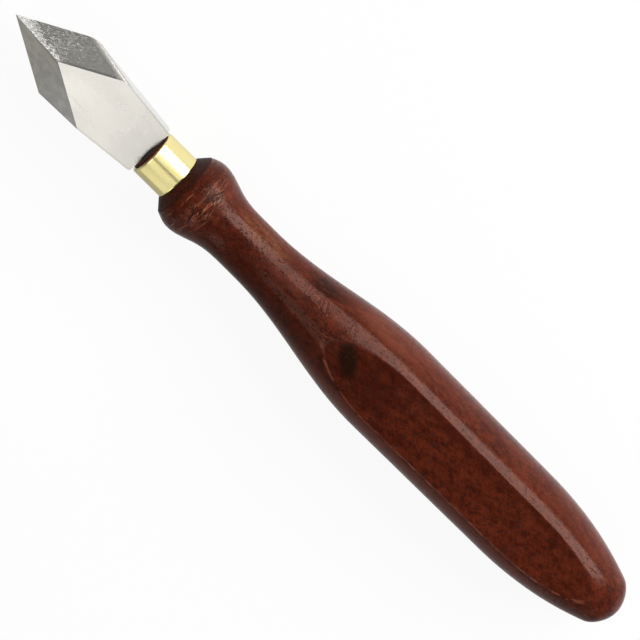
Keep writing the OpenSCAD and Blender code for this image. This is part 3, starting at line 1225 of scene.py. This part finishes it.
def make_world():
    """A dim room, darker overhead, past the point and at the near side, with a white background."""
    world = bpy.data.worlds.new("studio")
    bpy.context.scene.world = world
    world.use_nodes = True
    tree = world.node_tree
    direction = add_node(tree, "ShaderNodeTexCoord").outputs["Generated"]
    split = add_node(tree, "ShaderNodeSeparateXYZ", {"Vector": direction})
    level = Field(tree, split.outputs["Z"]).at_least(0.0)
    room = level * (WORLD_OVERHEAD - WORLD_HORIZON) + WORLD_HORIZON
    from_point = Field(tree, split.outputs["X"]).ramp(-0.95, -0.25)
    from_near = Field(tree, split.outputs["Y"]).ramp(-0.7, 0.2)
    lit_end = from_point * (1 - WORLD_PAST_POINT) + WORLD_PAST_POINT
    lit_side = from_near * (1 - WORLD_NEAR_SIDE) + WORLD_NEAR_SIDE
    seen = Field(tree, add_node(tree, "ShaderNodeLightPath").outputs["Is Camera Ray"])
    strength = room * lit_end * lit_side * (1.0 - seen) + seen
    background = tree.nodes["Background"]
    feed(tree, WHITE, background.inputs["Color"])
    feed(tree, strength, background.inputs["Strength"])


def add_panel(name, centre, facing, size, radiance):
    """A rectangular light with an even radiance. Size is along X and across it, in metres."""
    light = bpy.data.lights.new(name, "AREA")
    light.shape = "RECTANGLE"
    light.size, light.size_y = size
    light.energy = radiance * math.pi * size[0] * size[1]
    lamp = bpy.data.objects.new(name, light)
    bpy.context.scene.collection.objects.link(lamp)
    back = (Vector(centre) - Vector(facing)).normalized()
    side = (Vector((1, 0, 0)) - back * back.x).normalized()
    up = back.cross(side)
    turn = Matrix((side, up, back)).transposed().to_4x4()
    lamp.matrix_world = Matrix.Translation(centre) @ turn
    lamp.visible_camera = False


def add_overhead(name, along, across, size, radiance):
    """A level panel over a place on the floor."""
    add_panel(name, (along, across, PANEL_HEIGHT), (along, across, 0), size, radiance)


def add_card(name, along, angle, distance, size, radiance):
    """A panel that faces the knife's axis, at an angle in degrees from overhead to the far side."""
    lean = math.radians(angle)
    axis = Vector((along, 0, AXIS_HEIGHT * MM))
    centre = axis + Vector((0, math.sin(lean), math.cos(lean))) * distance
    add_panel(name, centre, axis, size, radiance)


def make_lights():
    """A softbox at the far side in two stretches, panels overhead, and lamps at the near side."""
    add_card("softbox", 0.5425, SOFTBOX_ANGLE, SOFTBOX_DISTANCE, (0.895, SOFTBOX_WIDTH), 7.6)
    add_card("softbox_end", -0.0125, SOFTBOX_ANGLE, SOFTBOX_DISTANCE, (0.215, SOFTBOX_WIDTH), 6.0)
    add_overhead("panel_near", -0.0625, -0.235, (0.275, 0.43), 1.58)
    add_overhead("panel_far", 0.005, 0.345, (0.17, 0.49), 1.45)
    add_overhead("panel_point", -0.27, 0.42, (0.36, 0.36), 0.085)
    add_panel("panel_bevel", (-0.17, -0.87, 0.5), (-0.075, 0, 0), (0.5, 0.5), 0.13)
    add_card("ferrule_card", -0.036, -58, 0.06, (0.0155, 0.064), 0.62)
    add_card("grip_card", 0.36, -50, 0.8, (0.28, 0.54), 1.6)


CAMERA_DISTANCE = 0.9
CAMERA_TILT = math.radians(12.2)
CAMERA_ROLL = math.radians(16.13)
CAMERA_SPIN = math.radians(44.72)
IMAGE_SIDE = 640
FOCAL_PIXELS = 4324
SENSOR = 36.0
AIM_OFFSET = (-0.34, 0.03)


def make_camera():
    """The photograph's view: a long lens, tilted, rolled and spun about the knife."""
    back = Vector((-math.sin(CAMERA_TILT), math.cos(CAMERA_TILT) * math.sin(CAMERA_ROLL),
                   math.cos(CAMERA_TILT) * math.cos(CAMERA_ROLL)))
    along = (Vector((1, 0, 0)) - back * back.x).normalized()
    over = back.cross(along)
    right = along * math.cos(CAMERA_SPIN) + over * math.sin(CAMERA_SPIN)
    up = over * math.cos(CAMERA_SPIN) - along * math.sin(CAMERA_SPIN)
    aim = Vector((0, 0, AXIS_HEIGHT * MM)) + (right * AIM_OFFSET[0] + up * AIM_OFFSET[1]) * MM
    data = bpy.data.cameras.new("camera")
    data.sensor_width = SENSOR
    data.lens = FOCAL_PIXELS / IMAGE_SIDE * SENSOR
    data.clip_start, data.clip_end = 0.05, 20.0
    camera = bpy.data.objects.new("camera", data)
    bpy.context.scene.collection.objects.link(camera)
    turn = Matrix((right, up, back)).transposed().to_4x4()
    camera.matrix_world = Matrix.Translation(aim + back * CAMERA_DISTANCE) @ turn
    bpy.context.scene.camera = camera


def settle(piece, node):
    """Puts a finished piece on the knife's body in the place of a CAD node."""
    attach(piece, "root")
    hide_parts(node)


TURNING = make_turning_tree()
SCRATCHES = make_scratches()
HANDLING = make_handling()
EDGE_WEAR = make_edge_wear()

bpy.context.scene.view_settings.view_transform = "Standard"
make_camera()
make_floor()
make_world()
make_lights()

blade_piece = make_blade((
    steel("blade_face_satin", scratch=(9.0, 0.5, 0.5), roughness=0.26,
          marks=face_marks, contrast=0.02),
    steel("blade_bevel_ground", scratch=(0.16, 2.4, 2.4), roughness=0.22, relief=0.12,
          colour=STEEL_WARM, marks=left_bevel_marks, contrast=0.1),
    steel("blade_bevel_scuffed", scratch=(2.2, 0.17, 0.17), turn=math.degrees(HALF_POINT),
          roughness=0.18, relief=0.35, marks=right_bevel_marks, contrast=0.3),
    # The flank's steel is laid paler than the face's: painted light
    steel("blade_flank_ground", scratch=(3.0, 0.2, 0.2), roughness=0.3, relief=0.1,
          colour=STEEL_BRIGHT),
    steel("blade_edge_rubbed", scratch=(2.0, 0.2, 0.2), roughness=0.2, relief=0.03,
          marks=edge_marks)))
settle(blade_piece, "blade")

handle_piece = turned_piece(
    "handle_turned", handle_profile(), rosewood(), segments=320, waviness=0.05, wave_length=9.0)
settle(handle_piece, "handle")

ferrule_piece = turned_piece(
    "ferrule_tube", ferrule_profile(), brass(), segments=192, waviness=0.006, wave_length=5.0)
settle(ferrule_piece, "ferrule")

adhesive_piece = make_adhesive(blade_piece, adhesive())
settle(adhesive_piece, "tang_epoxy")
